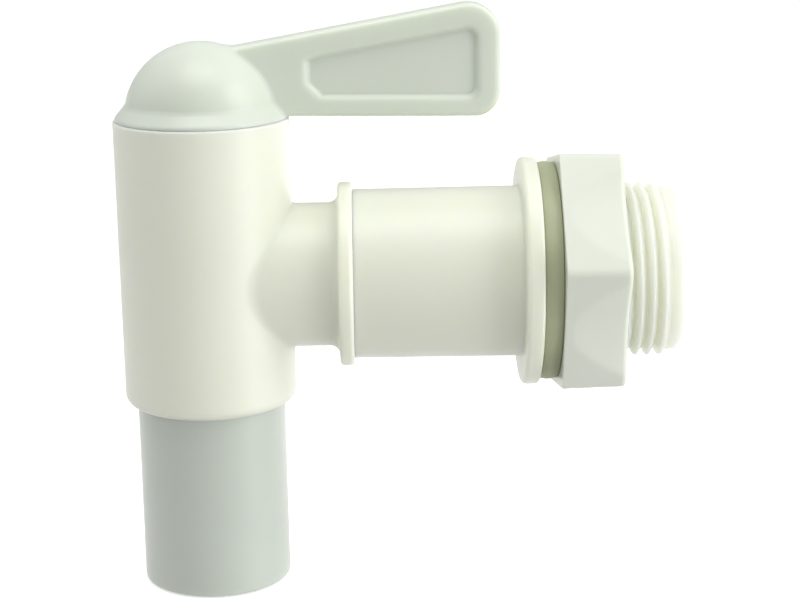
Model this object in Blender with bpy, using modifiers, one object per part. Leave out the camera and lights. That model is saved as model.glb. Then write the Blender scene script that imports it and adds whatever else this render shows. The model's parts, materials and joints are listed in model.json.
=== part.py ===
"""Lever tap for a water tank or drum, with a G 3/4 threaded shank, a gasket and a back nut.

Metres, +Z up. The origin is the centre of the flange's sealing face, on the shank's axis.
+X runs along the shank into the tank. The barrel stands upright at x = -REACH.
"""

import math

import bmesh
import bpy

mm = 0.001

# ---------------------------------------------------------------- driving sizes
BARREL_R = 13.1 * mm
BARREL_TOP = 24.2 * mm       # above the shank's axis
BARREL_BOTTOM = 19.3 * mm    # below the shank's axis
BARREL_WALL = 1.65 * mm
BARREL_EDGE_HEIGHT = 2.4 * mm

PORT_R = 7.0 * mm            # water way through the plug's side and the inlet seal
SEAT_LENGTH = 3.0 * mm       # inlet seal, along the neck
SEAT_WALL = 1.6 * mm
SEAT_STEP = 0.6 * mm         # the neck's bore is this much wider than the seal's
NECK_WALL = 3.3 * mm
NECK_REACH = 20.0 * mm       # barrel axis to the collar
COLLAR_WIDTH = 2.2 * mm
COLLAR_STEP = 1.1 * mm       # stands out from the sleeve
COLLAR_FILLET = 1.5 * mm
SPIGOT_LENGTH = 5.0 * mm
SPIGOT_WALL = 1.7 * mm

PITCH = 25.4 / 14 * mm       # G 3/4 parallel pipe thread
THREAD_R = 26.441 / 2 * mm
THREAD_DEPTH = 1.162 * mm
THREAD_FLANK = 27.5          # degrees
THREAD_RELIEF = 1.2 * mm     # plain length behind the first thread
SHANK_LENGTH = 21.6 * mm
SHANK_WALL = 2.05 * mm       # under the thread
SHANK_END_ROUND = 1.5 * mm   # taken off the thread's radius at the end
SHANK_CHAMFER = 1.9 * mm

TAIL_LENGTH = 27.7 * mm      # collar to the flange's sealing face
SLEEVE_WALL = 2.8 * mm       # at the collar
SLEEVE_DRAFT = 0.15 * mm     # added to the sleeve's radius at the flange
FLANGE_WIDTH = 4.05 * mm     # stands out from the thread
FLANGE_THICKNESS = 2.5 * mm

GASKET_INSET = 0.7 * mm      # smaller than the flange in radius
GASKET_THICKNESS = 2.65 * mm

NUT_WIDTH = 9.5 * mm         # along the shank
NUT_WALL = 4.15 * mm         # over the thread, under the middle of a flat
NUT_TAPER = 0.25 * mm        # lost from the corners' radius at the outer end
NUT_TURN = -11.8             # degrees, where the nut stopped when it was tightened
NUT_EDGE = 0.55 * mm
NUT_MOUTH = 0.9 * mm
SCOOP_DEPTH = 1.4 * mm       # hollow in each face of the nut, at its outer end
SCOOP_WIDTH = 16.0 * mm
SCOOP_START = 1.1 * mm       # from the gasket end

PLUG_WALL = 2.5 * mm
SPOUT_LENGTH = 28.4 * mm     # below the barrel
SPOUT_LIP = 0.45 * mm
DOME_STEP = 1.7 * mm         # the dome is this much smaller than the barrel in radius
LEVER_COLLAR_HEIGHT = 2.3 * mm   # barrel's top to where the collar's shoulder meets the dome
LEVER_RIM_STEP = 0.3 * mm    # the collar's rim is this much smaller than the barrel in radius
LEVER_RIM_ROUND = 0.6 * mm

LEVER_LENGTH = 44.5 * mm     # from the barrel axis to the tip
LEVER_THICKNESS = 5.0 * mm
LEVER_UNDERSIDE = 0.5 * mm   # above the barrel's top, at the barrel's axis
LEVER_DROOP = 0.9            # degrees, slope of the lower edge
LEVER_RISE = 9.9             # degrees, slope of the top edge
LEVER_ROOT = 3.0 * mm        # from the barrel axis, inside the dome
LEVER_SINK = 0.75 * mm       # the root's top corner lies this far under the dome
LEVER_TOP_CORNER = 4.8 * mm
LEVER_LOW_CORNER = 3.9 * mm
LEVER_EDGE = 0.8 * mm
POCKET_DEPTH = 0.8 * mm
POCKET_ROOT = 15.6 * mm      # from the barrel axis
POCKET_RIM = 2.6 * mm        # width left round the pocket
POCKET_CORNER = 1.8 * mm

RING_SECTION = 1.6 * mm      # thickness of the plug's sealing rings
RING_INSET = 0.9 * mm        # barrel wall between the inlet seal's pocket and a ring
BEAD_HEIGHT = 0.45 * mm      # snap bead in the barrel that holds the plug down
BEAD_WIDTH = 0.8 * mm
BEAD_ABOVE = 3.7 * mm        # above the barrel's bottom

LEVER_SWING = 90.0           # degrees from shut to open
STOP_WIDTH = 9.0             # degrees
STOP_HEIGHT = 0.4 * mm
STOP_WALL = 0.6 * mm         # left outside the stop's track, to the collar's rim

# ---------------------------------------------------------------- clearances
RUNNING_GAP = 0.15 * mm      # the plug in the barrel, the nut on its thread
SEAL_GAP = 0.08 * mm         # a rubber ring to what it seals on
FACE_GAP = 0.1 * mm          # faces that press or are welded together
STOP_GAP = 1.5               # degrees at each end of the stop's track
OVERCUT = 1.0 * mm           # how far a cutter runs past the surface it cuts

# ---------------------------------------------------------------- mesh fineness
TURNED_STEPS = 48
THREAD_STEPS = 40
SCOOP_STEPS = 96
MERGE = 1e-6

# ---------------------------------------------------------------- worked out from the above
REACH = NECK_REACH + COLLAR_WIDTH + TAIL_LENGTH   # barrel axis to the sealing face
COLLAR_FACE = -TAIL_LENGTH
BORE_R = BARREL_R - BARREL_WALL
PLUG_R = BORE_R - RUNNING_GAP
PLUG_BORE_R = PLUG_R - PLUG_WALL
SPOUT_BOTTOM = -BARREL_BOTTOM - SPOUT_LENGTH
BEAD_MIDDLE = BEAD_ABOVE - BARREL_BOTTOM

SEAT_R = PORT_R + SEAT_WALL
SEAT_END = BORE_R + SEAT_LENGTH
NECK_BORE_R = PORT_R + SEAT_STEP
NECK_R = NECK_BORE_R + NECK_WALL
RING_GROOVE_R = BORE_R - 2 * SEAL_GAP - RING_SECTION
RING_HEIGHT = SEAT_R + FACE_GAP + RING_INSET + RING_SECTION / 2

THREAD_ROOT_R = THREAD_R - THREAD_DEPTH
THREAD_PHASE = THREAD_RELIEF - PITCH
TAIL_BORE_R = THREAD_ROOT_R - SHANK_WALL
SPIGOT_R = TAIL_BORE_R - FACE_GAP
SPIGOT_BORE_R = SPIGOT_R - SPIGOT_WALL
SLEEVE_R = TAIL_BORE_R + SLEEVE_WALL
COLLAR_R = SLEEVE_R + COLLAR_STEP
FLANGE_R = THREAD_R + FLANGE_WIDTH
SHANK_END_R = THREAD_R - SHANK_END_ROUND

GASKET_R = FLANGE_R - GASKET_INSET
GASKET_START = FACE_GAP
NUT_START = GASKET_START + GASKET_THICKNESS + FACE_GAP
NUT_END = NUT_START + NUT_WIDTH
NUT_CORNER_R = (THREAD_R + NUT_WALL) / math.cos(math.radians(30))

DOME_R = BARREL_R - DOME_STEP
LEVER_SEAT = BARREL_TOP + RUNNING_GAP
LEVER_RIM_R = BARREL_R - LEVER_RIM_STEP


# ---------------------------------------------------------------- scene and helpers
for old in list(bpy.data.objects):
    bpy.data.objects.remove(old)

parts = bpy.data.collections.new("lever_tank_tap")
cutters = bpy.data.collections.new("cutters")
bpy.context.scene.collection.children.link(parts)
bpy.context.scene.collection.children.link(cutters)


def put_in(obj, name, collection):
    """Name an object and give it its only collection. The cutters' one stays out of the model."""
    obj.name = name
    for home in list(obj.users_collection):
        home.objects.unlink(obj)
    collection.objects.link(obj)
    if collection == cutters:
        obj.hide_render = True
        obj.display_type = 'WIRE'
    return obj


def arc(centre, radii, start, end, count):
    """Points along an elliptical arc, from start to end in degrees."""
    angles = [math.radians(start + (end - start) * i / count) for i in range(count + 1)]
    return [(centre[0] + radii[0] * math.cos(a), centre[1] + radii[1] * math.sin(a)) for a in angles]


def rounded(corners, count=6):
    """An outline from (x, y, radius) corners that run anticlockwise, with each corner an arc."""
    outline = []
    for i, (x, y, radius) in enumerate(corners):
        before = corners[i - 1]
        after = corners[(i + 1) % len(corners)]
        angle_in = math.atan2(y - before[1], x - before[0])
        angle_out = math.atan2(after[1] - y, after[0] - x)
        turn = (angle_out - angle_in) % (2 * math.pi)
        if radius == 0:
            outline.append((x, y))
            continue
        tangent = radius * math.tan(turn / 2)
        start_x = x - tangent * math.cos(angle_in)
        start_y = y - tangent * math.sin(angle_in)
        centre = (start_x - radius * math.sin(angle_in), start_y + radius * math.cos(angle_in))
        first = math.degrees(angle_in) - 90
        outline += arc(centre, (radius, radius), first, first + math.degrees(turn), count)
    return outline


def turned(name, profile, collection, steps=TURNED_STEPS):
    """Solid of revolution about local Z from (radius, height) pairs running down its outside.

    A profile that starts and ends on the axis makes a solid body, any other one makes a ring.
    """
    verts = [(radius, 0, height) for radius, height in profile]
    edges = [(i, i + 1) for i in range(len(verts) - 1)]
    if profile[0][0] > 0:
        edges.append((len(verts) - 1, 0))
    mesh = bpy.data.meshes.new(name)
    mesh.from_pydata(verts, edges, [])
    obj = put_in(bpy.data.objects.new(name, mesh), name, collection)
    screw = obj.modifiers.new("turn", 'SCREW')
    screw.steps = steps
    screw.render_steps = steps
    screw.use_merge_vertices = True
    screw.merge_threshold = MERGE
    weld = obj.modifiers.new("close the poles", 'WELD')
    weld.merge_threshold = MERGE
    return obj


def turn_along_x(obj):
    """Lay a turned piece along the shank, so that its heights are distances along X."""
    obj.rotation_euler = (0, math.radians(90), 0)


def slab(name, outline, thickness, collection):
    """Flat plate from a closed outline, centred on its own XY plane."""
    curve = bpy.data.curves.new(name + "_outline", 'CURVE')
    curve.dimensions = '2D'
    curve.fill_mode = 'BOTH'
    curve.extrude = thickness / 2
    spline = curve.splines.new('POLY')
    spline.points.add(len(outline) - 1)
    for point, (x, y) in zip(spline.points, outline):
        point.co = (x, y, 0, 1)
    spline.use_cyclic_u = True
    flat = put_in(bpy.data.objects.new(name, curve), name + "_outline", cutters)
    mesh = bpy.data.meshes.new_from_object(flat.evaluated_get(bpy.context.evaluated_depsgraph_get()))
    bpy.data.objects.remove(flat)
    bm = bmesh.new()
    bm.from_mesh(mesh)
    bmesh.ops.remove_doubles(bm, verts=bm.verts, dist=MERGE)
    bmesh.ops.recalc_face_normals(bm, faces=bm.faces)
    bm.to_mesh(mesh)
    bm.free()
    return put_in(bpy.data.objects.new(name, mesh), name, collection)


def threaded_rod(name, start, end, swell, collection):
    """Rod along local Z with the tap's right-hand thread, closed by a flat disc at each end.

    The thread rises one pitch after start and dies out at end. A swell above zero makes the
    rod fatter all over, as the cutter for a nut that runs on it with that clearance.
    """
    root_r = THREAD_ROOT_R + swell
    crest_r = THREAD_R + swell
    rise = THREAD_DEPTH * math.tan(math.radians(THREAD_FLANK))
    crest = PITCH / 2 - rise
    rows = [(swell, root_r), (PITCH - crest - 2 * rise - swell, root_r),
            (PITCH - crest - rise - swell, crest_r), (PITCH - rise + swell, crest_r)]
    turns = math.ceil((end - start) / PITCH)
    last = 4 * turns
    run = PITCH / 4
    bm = bmesh.new()

    def ring(z):
        return [bm.verts.new((root_r * math.cos(a), root_r * math.sin(a), z)) for a in angles[:-1]]

    def row_vertex(row, i):
        offset, radius = rows[row % 4]
        z = start + PITCH * (row // 4 + i / THREAD_STEPS) + offset
        fade = max(0, min(1, (z - start - PITCH) / run, (end - z) / run))
        r = root_r + (radius - root_r) * fade
        return bm.verts.new((r * math.cos(angles[i]), r * math.sin(angles[i]), z))

    angles = [2 * math.pi * i / THREAD_STEPS for i in range(THREAD_STEPS + 1)]
    grid = [[row_vertex(row, i) for i in range(THREAD_STEPS)] for row in range(last + 1)]
    for row in range(last + 1):
        meets_next_turn = row + 4 <= last
        grid[row].append(grid[row + 4][0] if meets_next_turn else row_vertex(row, THREAD_STEPS))
    foot = ring(start - PITCH)
    head = ring(start + PITCH * (turns + 2))
    foot.append(foot[0])
    head.append(head[0])
    for row in range(last):
        for i in range(THREAD_STEPS):
            bm.faces.new((grid[row][i], grid[row][i + 1], grid[row + 1][i + 1], grid[row + 1][i]))
    for i in range(THREAD_STEPS - 1):
        bm.faces.new((foot[i], foot[i + 1], grid[0][i + 1], grid[0][i]))
        bm.faces.new((grid[last][i + 1], grid[last][i + 2], head[i + 2], head[i + 1]))
    first_turn = [grid[row][0] for row in range(5)]
    last_turn = [grid[row][THREAD_STEPS] for row in range(last, last - 5, -1)]
    bm.faces.new([foot[-2], foot[-1]] + first_turn + [grid[0][THREAD_STEPS - 1]])
    bm.faces.new([head[1], head[0]] + last_turn + [grid[last][1]])
    bm.faces.new(foot[-1:0:-1])
    bm.faces.new(head[:-1])
    bmesh.ops.recalc_face_normals(bm, faces=bm.faces)
    mesh = bpy.data.meshes.new(name)
    bm.to_mesh(mesh)
    bm.free()
    return put_in(bpy.data.objects.new(name, mesh), name, collection)


def rod_cutter(name, radius, length, middle, along):
    """Round cutter of a given length, centred at a point, along X, Y or Z."""
    bpy.ops.mesh.primitive_cylinder_add(vertices=TURNED_STEPS, radius=radius, depth=length)
    obj = put_in(bpy.context.object, name, cutters)
    obj.location = middle
    quarter = math.radians(90)
    obj.rotation_euler = {'X': (0, quarter, 0), 'Y': (quarter, 0, 0), 'Z': (0, 0, 0)}[along]
    return obj


def combine(part, others, operation):
    for other in others:
        boolean = part.modifiers.new(operation.lower() + " " + other.name, 'BOOLEAN')
        boolean.operation = operation
        boolean.object = other


def cut(part, *others):
    combine(part, others, 'DIFFERENCE')


def join(part, *others):
    combine(part, others, 'UNION')


def plastic(name, colour, roughness):
    """Principled material for a moulded or rubber piece."""
    material = bpy.data.materials.new(name)
    material.use_nodes = True
    shader = material.node_tree.nodes["Principled BSDF"]
    shader.inputs["Base Color"].default_value = (*colour, 1)
    shader.inputs["Roughness"].default_value = roughness
    shader.inputs["Metallic"].default_value = 0
    return material


def finish(part, material):
    """Settle the modifiers into the mesh, clean it, shade it smooth and give it its material."""
    bpy.context.view_layer.update()
    graph = bpy.context.evaluated_depsgraph_get()
    mesh = bpy.data.meshes.new_from_object(part.evaluated_get(graph))
    part.modifiers.clear()
    bm = bmesh.new()
    bm.from_mesh(mesh)
    bmesh.ops.remove_doubles(bm, verts=bm.verts, dist=MERGE)
    bmesh.ops.dissolve_degenerate(bm, edges=bm.edges, dist=MERGE)
    bmesh.ops.recalc_face_normals(bm, faces=bm.faces)
    bm.to_mesh(mesh)
    bm.free()
    mesh.name = part.name
    mesh.materials.clear()
    mesh.materials.append(material)
    mesh.shade_smooth()
    mesh.set_sharp_from_angle(angle=math.radians(30))
    part.data = mesh


# ---------------------------------------------------------------- tap body: barrel, neck and collar
tap_body = turned("tap_body", [
    (0, BARREL_TOP),
    (BARREL_R, BARREL_TOP),
    *arc((BORE_R, BARREL_EDGE_HEIGHT - BARREL_BOTTOM), (BARREL_WALL, BARREL_EDGE_HEIGHT), 0, -90, 6),
    (0, -BARREL_BOTTOM),
], parts)
tap_body.location = (-REACH, 0, 0)

neck = turned("neck_blank", [
    (0, COLLAR_FACE + SPIGOT_LENGTH),
    (SPIGOT_R, COLLAR_FACE + SPIGOT_LENGTH),
    (SPIGOT_R, COLLAR_FACE),
    (COLLAR_R - COLLAR_WIDTH / 4, COLLAR_FACE),
    *arc((COLLAR_R - COLLAR_WIDTH / 4, COLLAR_FACE - COLLAR_WIDTH / 2),
         (COLLAR_WIDTH / 4, COLLAR_WIDTH / 2), 60, -90, 5),
    *arc((NECK_R + COLLAR_FILLET, COLLAR_FACE - COLLAR_WIDTH - COLLAR_FILLET),
         (COLLAR_FILLET, COLLAR_FILLET), 90, 180, 4),
    (NECK_R, -REACH),
    (0, -REACH),
], cutters)
turn_along_x(neck)

barrel_bore = turned("barrel_bore", [
    (0, BARREL_TOP + OVERCUT),
    (BORE_R, BARREL_TOP + OVERCUT),
    (BORE_R, BEAD_MIDDLE + BEAD_WIDTH / 2 + BEAD_HEIGHT),
    (BORE_R - BEAD_HEIGHT, BEAD_MIDDLE + BEAD_WIDTH / 2),
    (BORE_R - BEAD_HEIGHT, BEAD_MIDDLE - BEAD_WIDTH / 2),
    (BORE_R, BEAD_MIDDLE - BEAD_WIDTH / 2 - BEAD_HEIGHT),
    (BORE_R, -BARREL_BOTTOM - OVERCUT),
    (0, -BARREL_BOTTOM - OVERCUT),
], cutters)
barrel_bore.location = (-REACH, 0, 0)

# Water way along the neck: a pocket for the inlet seal, the bore, then the spigot's wider bore.
neck_bore = turned("neck_bore", [
    (0, COLLAR_FACE + SPIGOT_LENGTH + OVERCUT),
    (SPIGOT_BORE_R, COLLAR_FACE + SPIGOT_LENGTH + OVERCUT),
    (SPIGOT_BORE_R, COLLAR_FACE - COLLAR_WIDTH),
    (NECK_BORE_R, COLLAR_FACE - COLLAR_WIDTH - COLLAR_FILLET),
    (NECK_BORE_R, SEAT_END + FACE_GAP - REACH),
    (SEAT_R + FACE_GAP, SEAT_END + FACE_GAP - REACH),
    (SEAT_R + FACE_GAP, -REACH),
    (0, -REACH),
], cutters)
turn_along_x(neck_bore)

stop_track_inner_r = BORE_R
stop_track_outer_r = LEVER_RIM_R - STOP_WALL


def ring_sector(name, inner_r, outer_r, start, end, thickness, collection):
    """Part of a flat ring, between two angles in degrees, centred on its own XY plane."""
    count = math.ceil((end - start) / 6)
    outline = arc((0, 0), (outer_r, outer_r), start, end, count)
    outline += arc((0, 0), (inner_r, inner_r), end, start, count)
    return slab(name, outline, thickness, collection)


# Stop on the barrel's rim, on the side away from the tank. It runs in a track under the lever.
stop = ring_sector("stop_blank", stop_track_inner_r + RUNNING_GAP, stop_track_outer_r - RUNNING_GAP,
                   180 - STOP_WIDTH / 2, 180 + STOP_WIDTH / 2, 2 * STOP_HEIGHT, cutters)
stop.location = (-REACH, 0, BARREL_TOP)

join(tap_body, neck, stop)
cut(tap_body, barrel_bore, neck_bore)

# ---------------------------------------------------------------- inlet seal
# Ring in the mouth of the neck, its front hollowed to the plug's radius.
inlet_seal = turned("inlet_seal", [
    (SEAT_R, SEAT_END - REACH),
    (SEAT_R, -REACH + OVERCUT),
    (PORT_R, -REACH + OVERCUT),
    (PORT_R, SEAT_END - REACH),
], parts)
turn_along_x(inlet_seal)
seal_hollow = rod_cutter("seal_hollow", PLUG_R + SEAL_GAP, 3 * SEAT_R, (-REACH, 0, 0), 'Z')
cut(inlet_seal, seal_hollow)

# ---------------------------------------------------------------- threaded tail
threaded_tail = turned("threaded_tail", [
    (0, OVERCUT / 2),
    (THREAD_ROOT_R - OVERCUT / 2, OVERCUT / 2),
    (THREAD_ROOT_R - OVERCUT / 2, 0),
    *arc((FLANGE_R - FLANGE_THICKNESS / 6, -FLANGE_THICKNESS / 6),
         (FLANGE_THICKNESS / 6, FLANGE_THICKNESS / 6), 90, 0, 2),
    *arc((FLANGE_R - FLANGE_THICKNESS / 4, FLANGE_THICKNESS / 4 - FLANGE_THICKNESS),
         (FLANGE_THICKNESS / 4, FLANGE_THICKNESS / 4), 0, -90, 3),
    (SLEEVE_R + SLEEVE_DRAFT, -FLANGE_THICKNESS),
    (SLEEVE_R, COLLAR_FACE + FACE_GAP),
    (0, COLLAR_FACE + FACE_GAP),
], parts)
turn_along_x(threaded_tail)

shank = threaded_rod("shank_blank", THREAD_PHASE, SHANK_LENGTH + PITCH, 0, cutters)
turn_along_x(shank)

shank_end = turned("shank_end", [
    (0, SHANK_LENGTH + 6 * PITCH),
    (THREAD_R + 2 * OVERCUT, SHANK_LENGTH + 6 * PITCH),
    (THREAD_R + 2 * OVERCUT, SHANK_LENGTH - SHANK_CHAMFER),
    (THREAD_R, SHANK_LENGTH - SHANK_CHAMFER),
    *arc((SHANK_END_R, SHANK_LENGTH - SHANK_CHAMFER),
         (THREAD_R - SHANK_END_R, SHANK_CHAMFER), 15, 90, 4),
    (0, SHANK_LENGTH),
], cutters)
turn_along_x(shank_end)

tail_bore = rod_cutter("tail_bore", TAIL_BORE_R, TAIL_LENGTH + SHANK_LENGTH + 2 * OVERCUT,
                       ((SHANK_LENGTH - TAIL_LENGTH) / 2, 0, 0), 'X')

join(threaded_tail, shank)
cut(threaded_tail, shank_end, tail_bore)

# ---------------------------------------------------------------- gasket
gasket_edge = GASKET_THICKNESS / 8
flange_gasket = turned("flange_gasket", [
    (THREAD_R + RUNNING_GAP, GASKET_START + GASKET_THICKNESS),
    (GASKET_R - gasket_edge, GASKET_START + GASKET_THICKNESS),
    (GASKET_R, GASKET_START + GASKET_THICKNESS - gasket_edge),
    (GASKET_R, GASKET_START + gasket_edge),
    (GASKET_R - gasket_edge, GASKET_START),
    (THREAD_R + RUNNING_GAP, GASKET_START),
], parts)
turn_along_x(flange_gasket)

# ---------------------------------------------------------------- back nut
bpy.ops.mesh.primitive_cone_add(vertices=6, radius1=NUT_CORNER_R, radius2=NUT_CORNER_R - NUT_TAPER,
                                depth=NUT_WIDTH)
back_nut = put_in(bpy.context.object, "back_nut", parts)
nut_middle = (NUT_START + NUT_END) / 2
for vertex in back_nut.data.vertices:
    vertex.co.z += nut_middle
back_nut.rotation_mode = 'ZYX'
back_nut.rotation_euler = (math.radians(NUT_TURN), math.radians(90), 0)
edge_round = back_nut.modifiers.new("soft edges", 'BEVEL')
edge_round.width = NUT_EDGE
edge_round.segments = 2

nut_thread_start = THREAD_PHASE + PITCH * math.floor((NUT_START - 3 * PITCH - THREAD_PHASE) / PITCH)
nut_thread = threaded_rod("nut_thread", nut_thread_start, NUT_END + PITCH, RUNNING_GAP, cutters)
turn_along_x(nut_thread)

nut_mouths = []
for name, face, outward in (("inner_mouth", NUT_START, -1), ("outer_mouth", NUT_END, 1)):
    wide = THREAD_R + RUNNING_GAP + NUT_MOUTH / 4
    cone = [(0, face + outward * OVERCUT), (wide, face + outward * OVERCUT), (wide, face),
            (wide - NUT_MOUTH, face - outward * NUT_MOUTH), (0, face - outward * NUT_MOUTH)]
    mouth = turned(name, cone if outward > 0 else cone[::-1], cutters)
    turn_along_x(mouth)
    nut_mouths.append(mouth)

# Each face is hollowed by a wide cylinder, tilted so that the hollow deepens outwards.
flat_distance = NUT_CORNER_R * math.cos(math.radians(30))
flat_slope = math.atan(NUT_TAPER * math.cos(math.radians(30)) / NUT_WIDTH)
scoop_r = (SCOOP_WIDTH ** 2 / 4 + SCOOP_DEPTH ** 2) / (2 * SCOOP_DEPTH)
scoop_tilt = math.atan(SCOOP_DEPTH / (NUT_WIDTH - SCOOP_START)) + flat_slope
scoops = []
for face in range(6):
    bpy.ops.mesh.primitive_cylinder_add(vertices=SCOOP_STEPS, radius=scoop_r, depth=6 * NUT_WIDTH)
    scoop = put_in(bpy.context.object, "scoop_" + str(face + 1), cutters)
    holder = put_in(bpy.data.objects.new("holder", None), "scoop_holder_" + str(face + 1), cutters)
    scoop.parent = holder
    # In the holder the shank's axis is X and the face looks along +Z.
    start_height = flat_distance - SCOOP_START * math.tan(flat_slope)
    scoop.rotation_euler = (0, math.radians(90) + scoop_tilt, 0)
    scoop.location = (NUT_START + SCOOP_START + scoop_r * math.sin(scoop_tilt), 0,
                      start_height + scoop_r * math.cos(scoop_tilt))
    holder.rotation_euler = (math.radians(NUT_TURN + 60 * face), 0, 0)
    scoops.append(scoop)

cut(back_nut, *scoops, nut_thread, *nut_mouths)

# ---------------------------------------------------------------- lever, plug and spout in one moulding
dome_foot_angle = math.degrees(math.asin(LEVER_COLLAR_HEIGHT / DOME_R))
groove_half = RING_SECTION / 2 + SEAL_GAP


def ring_groove(height):
    """Square groove round the plug for a sealing ring."""
    return [(PLUG_R, height + groove_half), (RING_GROOVE_R, height + groove_half),
            (RING_GROOVE_R, height - groove_half), (PLUG_R, height - groove_half)]


bead_groove_r = BORE_R - BEAD_HEIGHT - RUNNING_GAP
bead_groove_half = BEAD_WIDTH / 2 + BEAD_HEIGHT + RUNNING_GAP
lever_plug = turned("lever_plug", [
    *arc((0, BARREL_TOP), (DOME_R, DOME_R), 90, dome_foot_angle, 11),
    *arc((LEVER_RIM_R - LEVER_RIM_ROUND, LEVER_SEAT), (LEVER_RIM_ROUND, LEVER_RIM_ROUND), 40, 0, 3),
    (PLUG_R, LEVER_SEAT),
    *ring_groove(RING_HEIGHT),
    *ring_groove(-RING_HEIGHT),
    (PLUG_R, BEAD_MIDDLE + bead_groove_half),
    (bead_groove_r, BEAD_MIDDLE + bead_groove_half),
    (bead_groove_r, BEAD_MIDDLE - bead_groove_half),
    (PLUG_R, BEAD_MIDDLE - bead_groove_half),
    *arc((PLUG_R - SPOUT_LIP, SPOUT_BOTTOM + SPOUT_LIP), (SPOUT_LIP, SPOUT_LIP), 0, -90, 3),
    (0, SPOUT_BOTTOM),
], parts)
lever_plug.location = (-REACH, 0, 0)

slope = math.tan(math.radians(LEVER_RISE))
root_top = BARREL_TOP + math.sqrt(DOME_R ** 2 - LEVER_ROOT ** 2) - LEVER_SINK


def top_edge(x):
    """Height of the lever's sloping top edge at a distance from the barrel axis."""
    return root_top + (x - LEVER_ROOT) * slope


def lower_edge(x):
    """Height of the lever's lower edge at a distance from the barrel axis."""
    return BARREL_TOP + LEVER_UNDERSIDE - x * math.tan(math.radians(LEVER_DROOP))


paddle = slab("paddle_blank", rounded([
    (LEVER_ROOT, lower_edge(LEVER_ROOT), 0),
    (LEVER_LENGTH, lower_edge(LEVER_LENGTH), LEVER_LOW_CORNER),
    (LEVER_LENGTH, top_edge(LEVER_LENGTH), LEVER_TOP_CORNER),
    (LEVER_ROOT, root_top, 0),
]), LEVER_THICKNESS, cutters)
paddle.location = (-REACH, 0, 0)
paddle.rotation_euler = (math.radians(90), 0, 0)
paddle_edge = paddle.modifiers.new("soft edges", 'BEVEL')
paddle_edge.width = LEVER_EDGE
paddle_edge.segments = 2
paddle_edge.limit_method = 'ANGLE'
paddle_edge.angle_limit = math.radians(60)

pocket_outline = rounded([
    (POCKET_ROOT, lower_edge(POCKET_ROOT) + POCKET_RIM, POCKET_CORNER),
    (LEVER_LENGTH - POCKET_RIM, lower_edge(LEVER_LENGTH - POCKET_RIM) + POCKET_RIM, POCKET_CORNER),
    (LEVER_LENGTH - POCKET_RIM, top_edge(LEVER_LENGTH - POCKET_RIM) - POCKET_RIM, POCKET_CORNER),
    (POCKET_ROOT, top_edge(POCKET_ROOT) - POCKET_RIM, POCKET_CORNER),
], count=3)
pockets = []
for side in (-1, 1):
    pocket = slab("pocket_" + ("front" if side < 0 else "back"), pocket_outline, 2 * POCKET_DEPTH, cutters)
    pocket.location = (-REACH, side * LEVER_THICKNESS / 2, 0)
    pocket.rotation_euler = (math.radians(90), 0, 0)
    pockets.append(pocket)

plug_bore = turned("plug_bore", [
    *arc((0, BARREL_TOP), (PLUG_BORE_R, PLUG_BORE_R), 90, 0, 6),
    (PLUG_BORE_R, SPOUT_BOTTOM - OVERCUT),
    (0, SPOUT_BOTTOM - OVERCUT),
], cutters)
plug_bore.location = (-REACH, 0, 0)

# The port faces sideways while the tap is shut, and faces the neck after a quarter turn.
port = rod_cutter("port", PORT_R, PLUG_R + OVERCUT, (-REACH, -(PLUG_R + OVERCUT) / 2, 0), 'Y')

track = ring_sector("stop_track", stop_track_inner_r, stop_track_outer_r,
                    180 - LEVER_SWING - STOP_WIDTH / 2 - STOP_GAP, 180 + STOP_WIDTH / 2 + STOP_GAP,
                    2 * STOP_HEIGHT, cutters)
track.location = (-REACH, 0, LEVER_SEAT + RUNNING_GAP)

join(lever_plug, paddle)
cut(lever_plug, plug_bore, port, track, *pockets)

# ---------------------------------------------------------------- sealing rings on the plug
rings = []
for name, height in (("upper_plug_ring", RING_HEIGHT), ("lower_plug_ring", -RING_HEIGHT)):
    section_r = RING_SECTION / 2
    bpy.ops.mesh.primitive_torus_add(major_segments=TURNED_STEPS, minor_segments=8,
                                     major_radius=BORE_R - SEAL_GAP - section_r, minor_radius=section_r)
    ring = put_in(bpy.context.object, name, parts)
    ring.parent = lever_plug
    ring.location = (0, 0, height)
    rings.append(ring)

# ---------------------------------------------------------------- materials
natural = plastic("natural_polyethylene", (0.80, 0.83, 0.70), 0.38)
white = plastic("white_polypropylene", (0.86, 0.89, 0.83), 0.32)
nut_white = plastic("nut_polypropylene", (0.90, 0.92, 0.86), 0.35)
gasket_rubber = plastic("olive_rubber", (0.40, 0.43, 0.28), 0.65)
ring_rubber = plastic("pale_silicone", (0.70, 0.71, 0.64), 0.5)

finish(tap_body, natural)
finish(threaded_tail, natural)
finish(inlet_seal, ring_rubber)
finish(flange_gasket, gasket_rubber)
finish(back_nut, nut_white)
finish(lever_plug, white)
for ring in rings:
    finish(ring, ring_rubber)
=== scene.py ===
"""Lever tap for a water tank or drum, in natural and white moulded plastic, on a pale studio floor.

Metres, +Z up. The shank runs along +X, and the barrel stands on the axis that the lever turns about.
"""

import json
import math

import bmesh
import bpy
import numpy as np
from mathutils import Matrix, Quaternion, Vector


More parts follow.
